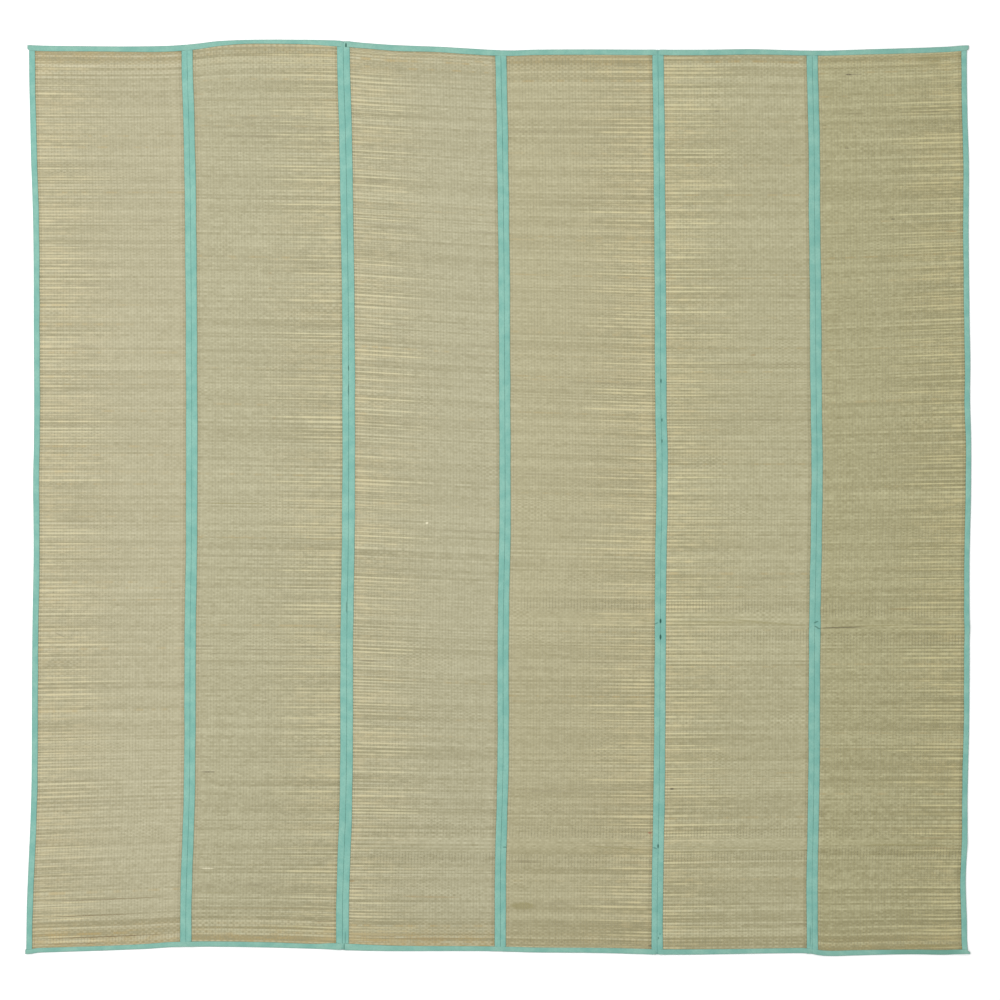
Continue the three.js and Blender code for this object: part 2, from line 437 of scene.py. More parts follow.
def weave_tree():
    """Straws side by side and warp threads across them, on a square of side 1, with heights in millimetres.

    A straw's x runs from 0 to 1 across the panel, and its y up the panel. Every second straw lies with its
    butt towards the panel's coarse side, where it stands wide and high."""
    sizes = {
        "Straws": "Int", "Warps": "Int", "Straw Steps": "Int", "Warp Steps": "Int", "Thickness": "Float",
        "Warp Radius": "Float", "Warp Share": "Float", "Coarse Right": "Float", "Seed": "Float",
        "Straw": "Material", "Thread": "Material",
    }
    shapes = Shapes("straw_weave", sizes)
    given = shapes.given
    count, warps, seed, thickness = [given[name] for name in ("Straws", "Warps", "Seed", "Thickness")]

    # Fields: each says what the points hold of the shape where it is used
    x, y, z = shapes.node("GeometryNodeInputPosition").parts()
    index = shapes.node("GeometryNodeInputIndex")
    straw = shapes.attribute("straw")
    side = shapes.attribute("side")
    crown = shapes.attribute("crown")

    # One straw: a rod along x, point up, which keeps where each of its points is around it
    rod = shapes.rod(STRAW_SIDES, given["Straw Steps"])
    rod = shapes.store(rod, "side", y)
    rod = shapes.store(rod, "crown", x)
    rod = shapes.move(rod, z + 0.5)
    pitch = shapes.vector(0.0, 1 / count)
    line = shapes.node("GeometryNodeMeshLine", {}, {"Count": count, "Offset": pitch})
    line = shapes.store(line, "straw", index)
    line = shapes.store(line, "tone", shapes.chance(index, seed))
    straws = shapes.copies(line, rod)

    to_butt = x * (2 * given["Coarse Right"] - 1) + (1 - given["Coarse Right"])
    butt = to_butt.within(BUTT_STARTS, 1.0)
    odd = straw % 2

    def boundary(number):
        """How far the line between two straws lies off its even place."""
        wander = shapes.noise(shapes.vector(x * 5, number * 7.7, seed), 1.0) - 0.5
        jump = shapes.chance(number, seed + 21) - 0.5
        return wander * WANDER + jump * (JUMP + butt * BUTT_JUMP)

    low, high = boundary(straw), boundary(straw + 1)
    swell = shapes.noise(shapes.vector(x * 9, straw * 3.1, seed + 40), 1.0) - 0.5
    spare = (high - low) * 0.5
    half_width = HALF_WIDTH + spare + butt * (odd * BUTT_GROWTH - BUTT_WIDTH_LOSS)
    half_width = half_width + swell * (SWELL + butt * SWELL)
    half_height = HALF_HEIGHT + spare * 0.15 + butt * (odd * BUTT_GROWTH - BUTT_HEIGHT_LOSS)
    half_height = half_height + swell * butt * BUTT_SWELL
    shoulder = crown * (1 + side.size() * (FULL_SHOULDER - butt * BUTT_SHOULDER))
    over = side * (1 + crown * 0.2) * half_width
    up = (straw + 0.5 + over + (low + high) * 0.5) / count
    straws = shapes.store(straws, "butt", butt)
    straws = shapes.store(straws, "across", x)
    straws = shapes.move(straws, x, up, thickness * (0.5 + shoulder * half_height))

    # They are shaded smooth but for the edges along their shoulders
    straws = shapes.shade_smooth(straws)
    sharp = {"Geometry": straws, "Selection": side.size() * crown.size() > 0.4, "Shade Smooth": False}
    straws = shapes.node("GeometryNodeSetShadeSmooth", {"domain": "EDGE"}, sharp)
    parts = [shapes.dress(straws, given["Straw"])]

    # The warp threads, over the straws and more plainly under them
    for face, steps in ((1, given["Warp Steps"]), (-1, given["Warp Steps"] / 3)):
        rod = shapes.rod(WARP_SIDES, steps)
        rod = shapes.store(rod, "side", x)
        rod = shapes.store(rod, "crown", y)
        rod = shapes.move(rod, 0.0, z + 0.5)
        pitch = shapes.vector(1 / warps)
        line = {"Count": warps, "Start Location": pitch, "Offset": pitch}
        line = shapes.store(shapes.node("GeometryNodeMeshLine", {}, line), "straw", index)
        threads = shapes.copies(line, rod)
        stray = shapes.noise(shapes.vector(straw * 5.3, y * 30, seed + face), 1.0) - 0.5
        thread_x = x - 0.5 / warps + (side * given["Warp Share"] + stray * WARP_STRAY) / warps
        level = thickness * (0.5 + face * WARP_LEVEL) + crown * given["Warp Radius"]
        threads = shapes.move(threads, thread_x, y, level)
        parts.append(shapes.dress(shapes.shade_smooth(threads), given["Thread"]))
    return shapes.finish(parts)


# How unevenly the straws are packed: straws from one dense place to the next, and how much they crowd there
PACKING = [(3, 0.16), (11, 0.2)]

# The share of a panel's length in which its straws turn from the line of its end to their own lean
END_TURN = 0.12


def packed(panel):
    """Maps even heights on a panel, from 0 to 1, to where the unevenly packed straws lie."""
    draw = np.random.default_rng(50 + panel)
    even = np.linspace(0, 1, STRAWS + 1)
    room = np.ones(STRAWS)
    for span, crowding in PACKING:
        places = np.linspace(0, 1, STRAWS // span)
        room += curve(list(zip(places, draw.uniform(-crowding, crowding, len(places)))))(even[1:])
    uneven = np.concatenate([[0], np.cumsum(room)]) / room.sum()
    return lambda height: np.interp(height, even, uneven)


def lay_panel(piece, panel):
    """Lays a woven square on the mat, between its tapes and its ends, with its straws' lean and its lifts."""
    mesh = piece.data
    flat = np.empty(len(mesh.vertices) * 3)
    mesh.vertices.foreach_get("co", flat)
    u, v, height = flat.reshape(-1, 3).T
    v = packed(panel)(v)
    lean = curve(list(zip(LEAN_AT, LEANS[panel])))
    rough_y = mix(-HALF_LENGTH, HALF_LENGTH, v)
    sides = left_x(panel, rough_y), right_x(panel, rough_y)
    rough_x = mix(*sides, u)
    middle_x = mix(*sides, 0.5)
    by_ends = mix(foot_y(rough_x) + LAP, head_y(rough_x) - LAP, v)
    by_lean = mix(foot_y(middle_x) + LAP, head_y(middle_x) - LAP, v)
    by_lean = by_lean + (rough_x - middle_x) * np.tan(np.radians(lean(rough_y)))
    y = mix(by_ends, by_lean, smooth(v, 0, END_TURN) * smooth(1 - v, 0, END_TURN))
    x = mix(left_x(panel, y) + LAP, right_x(panel, y) - LAP, u)
    z = crease_lift(x, y) + end_lift(x, y) + side_lift(panel, x, y) + height
    mesh.vertices.foreach_set("co", metres(x, y, z).ravel())
    mesh.update()


def rgb(red, green, blue):
    """A colour from the photograph's scale of 0 to 255, in the linear scale that shaders hold."""
    shares = np.array([red, green, blue]) / 255
    return (*np.where(shares < 0.04045, shares / 12.92, ((shares + 0.055) / 1.055) ** 2.4), 1.0)


def new_finish(name):
    """A material, its node tree and its shader."""
    material = bpy.data.materials.new(name)
    material.use_nodes = True
    finish = Tree(material.node_tree)
    return material, finish, material.node_tree.nodes["Principled BSDF"]


def feed(finish, shader, **values):
    """Links wires to the shader's sockets, and sets the values that are the same all over on them."""
    for name, value in values.items():
        socket = shader.inputs[name.replace("_", " ")]
        if isinstance(value, Wire):
            finish.tree.links.new(value.socket, socket)
        else:
            socket.default_value = value


# Flecks, stains, creases and odd straws: the middle, half the width and half the height in pixels of the
# photograph, how far the mark falls for each pixel to the right, its strength, and its colour
Mark = namedtuple("Mark", "px py wide tall slope strength color")
DARK = (92, 84, 58)
BROWN = (140, 120, 76)
BARK = (112, 97, 62)
RUST = (140, 92, 66)
OLIVE = (128, 120, 74)
PALE = (206, 200, 170)
CREAM = (202, 190, 148)
STRAW_MARKS = [
    Mark(849, 74.4, 4, 1, 0, 0.9, DARK),
    Mark(853, 74.4, 12, 0.7, 0, 0.5, DARK),
    Mark(893, 219, 3, 1, 0, 0.6, DARK),
    Mark(951, 231, 10, 0.9, 0, 0.6, BROWN),
    Mark(847, 148, 3, 1, 0, 0.5, DARK),
    Mark(717, 111, 4, 1, 0, 0.5, DARK),
    Mark(753, 355, 4, 1.3, 0, 0.6, BROWN),
    Mark(672, 789, 3, 1.4, 0, 0.7, DARK),
    Mark(208, 772, 9, 1, 0, 0.6, DARK),
    Mark(650, 833, 2.5, 1.4, 0, 0.8, RUST),
    Mark(352, 881, 4, 1.2, 0, 0.6, BROWN),
    Mark(650, 946, 3, 1.2, 0, 0.6, DARK),
    Mark(207, 868.5, 9, 0.9, 0, 0.5, PALE),
    Mark(444, 109, 6, 1, 0, 0.35, PALE),
    Mark(427, 523, 2, 1.4, 0, 0.8, PALE),
    Mark(369, 661, 14, 0.9, 0.02, 0.5, DARK),
    Mark(270, 273, 2.5, 1.2, 0, 0.5, BROWN),
    Mark(270, 288, 2.5, 1.2, 0, 0.5, BROWN),
    Mark(274, 418, 2.5, 1.2, 0, 0.5, BROWN),
    Mark(522, 906, 16, 5, 0, 0.55, OLIVE),
    Mark(930, 60, 18, 6, 0, 0.4, OLIVE),
    Mark(930, 946, 32, 1.6, 0, 0.6, OLIVE),
    Mark(430, 897, 38, 1.4, 0.02, 0.45, BROWN),
    Mark(428, 939, 46, 2.2, 0, 0.4, BROWN),
    # Painted shade: the olive and dark lines along the creases
    Mark(760, 622, 56, 1.3, 0.09, 0.4, OLIVE),
    Mark(868, 626, 50, 1.1, -0.03, 0.45, OLIVE),
    Mark(646, 621, 8, 1, 0.05, 0.5, OLIVE),
    Mark(900, 609, 14, 1.1, 0, 0.5, BROWN),
    Mark(616, 848, 38, 1, 0.07, 0.45, OLIVE),
    Mark(736, 848, 70, 1.1, 0.04, 0.25, OLIVE),
    Mark(892, 844, 60, 1, 0, 0.3, OLIVE),
    Mark(60, 635, 7, 1, 0.45, 0.4, DARK),
    Mark(176, 588, 6, 0.9, 0, 0.4, DARK),
    Mark(194, 94, 14, 1.2, 0.02, 0.35, BROWN),
    Mark(335, 100, 16, 1, 0.02, 0.4, BROWN),
    Mark(338, 138, 12, 1.1, 0.1, 0.45, BROWN),
    Mark(262, 49.5, 60, 0.9, 0.01, 0.4, OLIVE),
    # Painted shade: the olive and dark lines along the creases
    Mark(843, 627.4, 28, 0.8, -0.03, 0.8, DARK),
    Mark(930, 624.3, 30, 0.8, 0, 0.5, DARK),
    Mark(730, 622.5, 80, 1.6, 0.02, 0.35, OLIVE),
    Mark(905, 845, 60, 0.9, 0, 0.6, OLIVE),
    Mark(935, 838, 30, 0.8, 0, 0.5, BROWN),
    Mark(940, 848, 26, 0.8, 0, 0.5, BROWN),
    Mark(868, 855, 50, 0.8, 0, 0.35, OLIVE),
    Mark(235, 503.5, 38, 0.6, 0.01, 0.6, OLIVE),
    Mark(230, 100, 30, 0.8, 0, 0.3, OLIVE),
    Mark(76, 66, 34, 0.9, 0, 0.4, PALE),
    Mark(80, 62, 40, 0.9, 0, 0.35, OLIVE),
    Mark(106, 899.5, 76, 0.8, -0.038, 0.6, BARK),
    Mark(72, 902.6, 40, 0.8, -0.038, 0.45, CREAM),
    Mark(60, 915.8, 26, 0.7, -0.04, 0.45, CREAM),
    Mark(92, 915.8, 60, 0.8, -0.043, 0.6, BARK),
    Mark(66, 919.5, 34, 0.9, -0.04, 0.5, CREAM),
    Mark(62, 936.8, 28, 0.8, -0.03, 0.45, CREAM),
    Mark(105, 936.8, 72, 0.9, -0.04, 0.65, BARK),
    Mark(75, 941.6, 42, 0.9, -0.035, 0.6, CREAM),
    Mark(74, 944, 38, 0.8, -0.03, 0.5, BARK),
    Mark(218, 893, 26, 0.9, 0, 0.3, OLIVE),
    Mark(260, 908.3, 70, 0.6, 0, 0.35, BROWN),
    Mark(322, 922, 14, 0.7, 0, 0.5, BARK),
    Mark(322, 926.5, 16, 0.7, 0, 0.45, BARK),
    Mark(280, 927, 54, 0.7, 0, 0.4, OLIVE),
    Mark(358, 889, 12, 0.8, 0, 0.5, BARK),
    Mark(380, 936.5, 40, 0.7, 0.01, 0.45, BARK),
]


def mark_color(finish, place, color, marks, ragged=1.0):
    """Lays marks over a colour, thinner or thicker by the ragged wire."""
    x, y = place.parts()[:2]
    for mark in marks:
        mark_x, mark_y = metres(*photo_place(mark.px, mark.py), 0)[:2]
        off_x = x - mark_x
        off_y = y - mark_y + off_x * mark.slope
        across = (off_x / (mark.wide * PHOTO_MM * MM)) ** 2.0
        off = across + (off_y / (mark.tall * PHOTO_MM * MM)) ** 2.0
        share = (1 - off).within(0.0, 0.8) * mark.strength * ragged
        color = finish.blend(share.within(0.0, 1.0), color, rgb(*mark.color))
    return color


def on_panel(mark, panel):
    x, y = photo_place(mark.px, mark.py)
    return left_x(panel, y) < x < right_x(panel, y)


# The straw of each panel, from left to right: its mean colour, how browned and loose it is at the head and at
# the foot (loose straw has deeper painted shade and checker), how dark the painted shade is where threads
# pinch it, how flecked and varied it is, and how much it lightens footward
StrawLook = namedtuple("StrawLook", "color at_head at_foot pinch flecks variety foot_shade")
STRAW_LOOKS = [
    StrawLook((155, 151, 125), 0.9, 1, 0.08, 0.55, 1.08, 0.1),
    StrawLook((152, 149, 122), 0.6, 1, 0.1, 0.65, 1.2, 0.02),
    StrawLook((154, 151, 125), 0.6, 1.1, 0.09, 0.6, 1.1, 0),
    StrawLook((155, 151, 122), 0.7, 0.4, 0.09, 0.6, 1.04, -0.04),
    StrawLook((157, 154, 125), 0.4, 0.3, 0.09, 0.6, 1.17, -0.03),
    StrawLook((152, 149, 116), 0.5, 0.6, 0.15, 0.8, 1.28, -0.06),
]

# Colours of straw, in shares of a panel's mean colour: its dark and its light grain, pale butts, which lie on
# each straw's crest as a painted highlight, odd dark straws and ripe ones. Browned straw has a colour of its
# own.
DARK_GRAIN = (0.86, 0.835, 0.74)
LIGHT_GRAIN = (1.13, 1.125, 1.12)
PALE_BUTT_HIGHLIGHT = (1.2, 1.18, 1.13)
DARK_STRAW = (0.76, 0.72, 0.62)
RIPE_STRAW = (1.14, 1.06, 0.94)
BROWNED = (150, 132, 84)

# The grain: how many patches lie across a panel, how far they change from straw to straw, and their detail
Grain = namedtuple("Grain", "across a_straw detail")
LONG_STREAKS = Grain(4, 1.7, 2.0)
STREAKS = Grain(14, 2.3, 3.0)
FLECKS = Grain(34, 5.9, 2.0)
FIBRES = Grain(70, 11.3, 4.0)
BANDS = Grain(1.2, 0.13, 3.0)
WORN = Grain(2, 0.05, 2.0)
PANEL_SHIFT = 31.7

# The share of a panel's length, from its end, in which the straw is browned
BROWNED_END = 0.045


def straw_finish(panel):
    """Straw with the grain, stripes, butts, marks and wear of one panel."""
    look = STRAW_LOOKS[panel]
    material, finish, shader = new_finish(f"straw_{panel + 1}")

    def named(name):
        return finish.node("ShaderNodeAttribute", {"attribute_name": name}, {}, "Fac")

    straw = named("straw")
    tone = named("tone")
    butt = named("butt")
    edge = named("side").size() * 1.15
    across = named("across")
    place = finish.node("ShaderNodeTexCoord", {}, {}, "Object")

    def grain(kind):
        """Noise about 0 along the straws, another for each panel."""
        where = finish.vector(across * kind.across + PANEL_SHIFT * panel, straw * kind.a_straw)
        return finish.noise(where, 1.0, kind.detail) - 0.5

    def luck(number):
        """A fixed random number from 0 to 1 for each straw, another one for each number."""
        return (tone * number) % 1.0

    def tint(shares):
        return rgb(*(np.array(look.color) * shares))

    kinds = (LONG_STREAKS, STREAKS, FLECKS, FIBRES, BANDS, WORN)
    long_streaks, streaks, flecks, fibres, bands, worn = [grain(kind) for kind in kinds]
    up = straw / STRAWS
    at_foot_end = (1 - up).within(1 - BROWNED_END, 1.0) * look.at_foot
    ends = up.within(1 - BROWNED_END, 1.0) * look.at_head + at_foot_end
    towards_foot = (1 - up).within(0.5, 0.9)
    odd = straw % 2

    warps = warp_count(panel)
    # Columns of painted shade where the threads pinch the straw; the bump dents there too
    pinch = (across * (2 * pi * warps) + pi / 2).sine() * -0.5 + 0.5
    # A painted checker of light and shade where straws pass over and under the threads, stronger where worn
    # and at the ends
    over_under_shade = (across * (pi * warps)).sine() * (odd * 2 - 1)
    over_under_shade = over_under_shade * (0.07 + worn.within(0.05, 0.25) * 0.16 + ends * (0.3 + streaks * 2))

    # Single straws turn pale towards their butts, each from its own place, and the pale lies only on each
    # straw's crest, a painted highlight
    to_butt = across if panel % 2 else 1 - across
    turning = luck(13.7) * 0.5 + 0.3
    pale = (to_butt - turning).within(0.0, 0.35) * (luck(5.3) * 0.6 + 0.4) * (0.1 + odd * 0.6)
    pale = pale * (1.1 + streaks * 2) * (1 - edge).within(0.0, 0.7)

    # How light the straw is, from its dark grain at 0 to its light grain at 1, with painted shade in it: in
    # the grooves along each straw's edges, on the lower straws at the coarse side and where threads pinch,
    # and a painted checker of light and shade where straws pass over and under the threads
    # Painted shade in the grooves along each straw's edges, deeper at the coarse side and where the ends lie
    # loose
    groove_shade = edge.within(0.55, 1.0) * (luck(3.7) + 0.5) * (0.1 + butt * 0.3 + ends * (0.3 + butt))
    light = (tone - 0.5) * (0.22 + butt * 0.2 + ends) + (odd - 0.5) * 0.08 + bands * 0.24
    light = light + long_streaks * 0.28 + streaks * 0.5 + flecks * look.flecks + fibres * 0.2
    light = light * (look.variety + towards_foot * 0.2) + 0.49 - at_foot_end * 0.1
    light = light + towards_foot * look.foot_shade
    # Painted shade on the lower, even straws at the coarse side and where threads pinch, with the painted
    # checker and groove shade
    light = light - butt * (1 - odd) * 0.12 - pinch * (0.5 + butt) * look.pinch + over_under_shade - groove_shade

    # Its colours, with browned, dark and ripe straws over the grain
    color = finish.blend(light.within(-0.2, 1.2), tint(DARK_GRAIN), tint(LIGHT_GRAIN))
    color = finish.blend(pale.within(0.0, 1.0), color, tint(PALE_BUTT_HIGHLIGHT))
    brown = luck(7.3).within(0.93, 1.0) * (streaks * 4 + 0.4).within(0.0, 1.0) * 0.5
    brown = brown + ends * (0.45 + streaks * 1.5 + long_streaks)
    color = finish.blend(brown.within(0.0, 1.0), color, rgb(*BROWNED))
    dark = luck(11.9).within(0.95, 1.0) * (long_streaks * 3 + 0.3).within(0.0, 1.0) * 0.6
    color = finish.blend(dark, color, tint(DARK_STRAW))
    ripe = butt * (streaks * 3 + bands * 2 + 0.3).within(0.0, 1.0) * 0.3
    color = finish.blend(ripe, color, tint(RIPE_STRAW))
    marks = [mark for mark in STRAW_MARKS if on_panel(mark, panel)]
    color = mark_color(finish, place, color, marks, 1 + streaks * 2)
    bump = {"Strength": 0.3, "Distance": 0.25 * MM, "Height": fibres - pinch * 0.5}
    bump = finish.node("ShaderNodeBump", {}, bump, "Normal")
    feed(finish, shader, Base_Color=color, Roughness=0.6 + fibres * 0.2, Normal=bump)
    return material


# Cotton thread, between its fuzz and in it
DARK_COTTON = (150, 145, 116)
LIGHT_COTTON = (184, 179, 150)


def thread_finish():
    """Fuzzy cotton thread."""
    material, finish, shader = new_finish("warp_thread")
    place = finish.node("ShaderNodeTexCoord", {}, {}, "Object")
    fuzz = finish.noise(place, 900.0)
    color = finish.blend(fuzz, rgb(*DARK_COTTON), rgb(*LIGHT_COTTON))
    bump = {"Strength": 0.4, "Distance": 0.1 * MM, "Height": fuzz}
    bump = finish.node("ShaderNodeBump", {}, bump, "Normal")
    feed(finish, shader, Base_Color=color, Roughness=0.85, Normal=bump)
    return material


# Painted shade on the tapes: the grey along a tape's rounded fold, and the dark green in its gaps, grooves
# and tucks; and a dull stretch at the foot
FOLD_SHADE_GREY = (92, 128, 117)
GAP_SHADE_GREEN = (36, 84, 72)
GREEN_DULL = (88, 138, 121)
TAPE_MARKS = [
    # Painted shade: dark green in the gaps along the seams and in the wrinkles where the creases cross them
    Mark(661, 381, 1, 3, 0, 0.7, GAP_SHADE_GREEN),
    Mark(662, 420, 1, 2.5, 0, 0.6, GAP_SHADE_GREEN),
    Mark(662, 441, 1, 2.5, 0, 0.6, GAP_SHADE_GREEN),
    Mark(660.5, 621, 1.3, 3, 0, 0.9, GAP_SHADE_GREEN),
    Mark(656, 623.5, 3, 1, -0.4, 0.5, GAP_SHADE_GREEN),
    Mark(660.5, 637, 1.3, 3.5, 0, 0.9, GAP_SHADE_GREEN),
    Mark(658, 846, 1.2, 3, 0, 0.7, GAP_SHADE_GREEN),
    Mark(655, 848, 3, 1, 0.3, 0.5, GAP_SHADE_GREEN),
    Mark(348.5, 368, 0.8, 4, 0, 0.6, GAP_SHADE_GREEN),
    Mark(348.5, 390, 0.8, 9, 0, 0.5, GAP_SHADE_GREEN),
    Mark(346.5, 607, 0.8, 8, 0, 0.5, GAP_SHADE_GREEN),
    Mark(505, 847, 3, 0.8, 0, 0.6, GAP_SHADE_GREEN),
    Mark(816, 622, 3, 1, -0.4, 0.6, GAP_SHADE_GREEN),
    Mark(816.5, 627, 3, 1, 0.5, 0.6, GAP_SHADE_GREEN),
    Mark(819, 628.5, 3, 0.9, 0, 0.5, GAP_SHADE_GREEN),
    Mark(345.3, 938, 0.9, 9, 0, 0.4, GAP_SHADE_GREEN),
    Mark(658.5, 938, 0.9, 1.5, 0, 0.6, GAP_SHADE_GREEN),
    Mark(660, 934, 0.9, 1.2, 0, 0.5, GAP_SHADE_GREEN),
    Mark(810.3, 936, 0.9, 14, -0.02, 0.4, GAP_SHADE_GREEN),
]
END_MARKS = [
    # Painted shade in the notches and grooves where the seams meet the end tapes
    Mark(346, 46, 1.2, 4, 0, 0.9, GAP_SHADE_GREEN),
    Mark(657.8, 54.3, 1.1, 2.4, 0, 0.7, GAP_SHADE_GREEN),
    Mark(344.2, 947, 0.9, 5, 0, 0.6, GAP_SHADE_GREEN),
    Mark(658, 949, 1, 3, 0, 0.5, GAP_SHADE_GREEN),
    Mark(925, 952, 50, 8, 0, 0.6, GREEN_DULL),
]

# Tape cloth: the pitch of its threads, and its darker patches, lighter patches and dark flecks
TAPE_THREAD = 0.7
TapeLook = namedtuple("TapeLook", "low high fleck")
SIDE_LOOK = TapeLook((109, 162, 150), (127, 174, 160), (95, 150, 137))
END_LOOK = TapeLook((111, 161, 148), (128, 172, 157), (99, 149, 134))


def tape_finish(name, look, marks):
    """Plain-woven teal cotton, patchy, with painted shade greying it along its rounded fold."""
    material, finish, shader = new_finish(name)
    place = finish.node("ShaderNodeTexCoord", {}, {}, "Object")
    x, y = place.parts()[:2]
    thread = 2 * pi / (TAPE_THREAD * MM)
    weave = (x * thread).sine() * (y * thread).sine()
    patches = finish.noise(place, 40.0, 4.0)
    fine = finish.noise(place, 260.0, 3.0)
    color = finish.blend(patches.within(0.3, 0.7), rgb(*look.low), rgb(*look.high))
    color = finish.blend(fine.within(0.35, 0.75) * 0.35, color, rgb(*look.fleck))
    # Painted shade greys the tape along its rounded fold
    fold = finish.node("ShaderNodeAttribute", {"attribute_name": "fold"}, {}, "Fac")
    color = finish.blend((fold * (0.5 + patches * 0.4)).within(0.0, 1.3), color, rgb(*FOLD_SHADE_GREY))
    color = mark_color(finish, place, color, marks)
    bump = {"Strength": 0.5, "Distance": 0.15 * MM, "Height": weave * 0.5 + fine}
    bump = finish.node("ShaderNodeBump", {}, bump, "Normal")
    feed(finish, shader, Base_Color=color, Roughness=0.9, Normal=bump)
    return material


# The bake map of a tape: its length lies in strips side by side, each in these shares of a strip's room
BAKE_STRIPS = 8
BAKE_LEFT = 0.02
BAKE_WIDE = 0.92
BAKE_LOW = 0.01
BAKE_TALL = 0.98


def grid_piece(name, points, fold, material):
    """A closed piece from points[row, step]: each row is a closed ring, and the first and last are capped.

    Fold tells how near the fold each point is."""
    rows, steps = points.shape[:2]
    row, step = np.meshgrid(np.arange(rows - 1), np.arange(steps), indexing="ij")
    row, step = row.ravel(), step.ravel()
    after = (step + 1) % steps
    first, last = row * steps, (row + 1) * steps
    quads = np.stack([first + step, first + after, last + after, last + step], -1)
    caps = [list(range(steps))[::-1], list(range((rows - 1) * steps, rows * steps))]
    mesh = bpy.data.meshes.new(name)
    mesh.from_pydata(points.reshape(-1, 3), [], [*quads.tolist(), *caps])
    mesh.shade_smooth()
    strip_rows = -(-(rows - 1) // BAKE_STRIPS)
    strip = row // strip_rows
    corner_steps = np.stack([step, step + 1, step + 1, step], -1)
    corner_rows = np.stack([row, row, row + 1, row + 1], -1) - (strip * strip_rows)[:, None]
    across = (strip[:, None] + BAKE_LEFT + BAKE_WIDE * corner_steps / steps) / BAKE_STRIPS
    bake = np.stack([across, BAKE_LOW + BAKE_TALL * corner_rows / strip_rows], -1).reshape(-1, 2)
    caps_bake = np.tile([[1 - BAKE_LEFT / BAKE_STRIPS, 0.5]], (2 * steps, 1))
    layer = mesh.uv_layers.new(name="OFBake")
    layer.data.foreach_set("uv", np.concatenate([bake, caps_bake]).ravel())
    mesh.attributes.new("fold", "FLOAT", "POINT").data.foreach_set("value", fold.ravel())
    mesh.materials.append(material)
    return shown(name, mesh)


# Round a tape's section: points along a leg, in shares of its reach, and how far they stay off the fold,
# points along the inner face, and steps round the fold
LEG_SHARES = (1.0, 0.93, 0.62, 0.3, 0.1)
FOLD_MARGIN = 0.3
INNER_SHARES = (0.93, 0.5)
FOLD_STEPS = 4

# From one ring of points to the next along a tape
TAPE_STEP = 6

# How far in from its fold a tape's painted shade reaches, and the share of that shade which shows at a seam
FOLD_SHADE_REACH = 2.4
SEAM_SHADE_SHARE = 0.05

# Between the two tapes that the stitches pull together at a seam
SEAM_GAP = 0.06

# How a tape varies along its length: from one hump to the next, how far the humps go, and how far past the
# middle of the mat's ends they are drawn
Ripple = namedtuple("Ripple", "pitch low high")
RIPPLE_PAST_END = 60
REACH_RIPPLE = Ripple(37, -0.35, 0.35)
FOLD_RIPPLE = Ripple(22, -0.2, 0.2)
PUFF_RIPPLE = Ripple(17, -0.12, 0.22)
END_FOLD_RIPPLE = Ripple(22, -0.3, 0.3)
END_PUFF_RIPPLE = Ripple(17, -0.1, 0.2)


def tape_rings(height, reach, fold_depth):
    """(inward, level) round a folded tape's section, each an array with a value for each place along it.

    The ring runs from the edge of the under leg round the fold to that of the upper leg, and back inside."""
    angles = np.linspace(-pi / 2, pi / 2, FOLD_STEPS + 2)
    arc = [(1 - np.cos(angle), (1 + np.sin(angle)) / 2) for angle in angles]
    legs = [np.maximum(reach * share, fold_depth + FOLD_MARGIN) for share in LEG_SHARES]
    outer = [(leg, 0 * height) for leg in legs]
    outer += [(fold_depth * inward, height * level) for inward, level in arc]
    outer += [(leg, height) for leg in reversed(legs)]
    core = height - 2 * TAPE
    inner = [(reach * share, height - TAPE) for share in INNER_SHARES]
    inner += [(TAPE + fold_depth * inward * 0.8, TAPE + core * level) for inward, level in reversed(arc[::2])]
    inner += [(reach * share, TAPE + 0 * height) for share in reversed(INNER_SHARES)]
    return outer + inner


def ripple(seed, kind):
    """A smooth random function of a place along a tape."""
    draw = np.random.default_rng(seed)
    end = HALF_LENGTH + RIPPLE_PAST_END
    places = np.arange(-end, end, kind.pitch)
    return curve(list(zip(places, draw.uniform(kind.low, kind.high, len(places)))))


def hem(share):
    """How far a tape's upper leg is pressed down at a share of its reach, most of all at its thin edge."""
    return 0.5 * smooth(share, 0.75, 1) + 0.3 * smooth(share, 0.95, 1)


def near_fold(inward):
    """1 at a tape's fold, and 0 where it lies flat."""
    return np.clip(1 - inward / FOLD_SHADE_REACH, 0, 1)


def closed_tape(name, ring, fold, turned, material):
    """The tape from the lines of points along it, taken the other way round where it would be inside out."""
    points = np.stack(ring, 1)
    fold = np.stack(fold, 1)
    if turned:
        points = points[:, ::-1]
        fold = fold[:, ::-1]
    return grid_piece(name, points, fold, material)


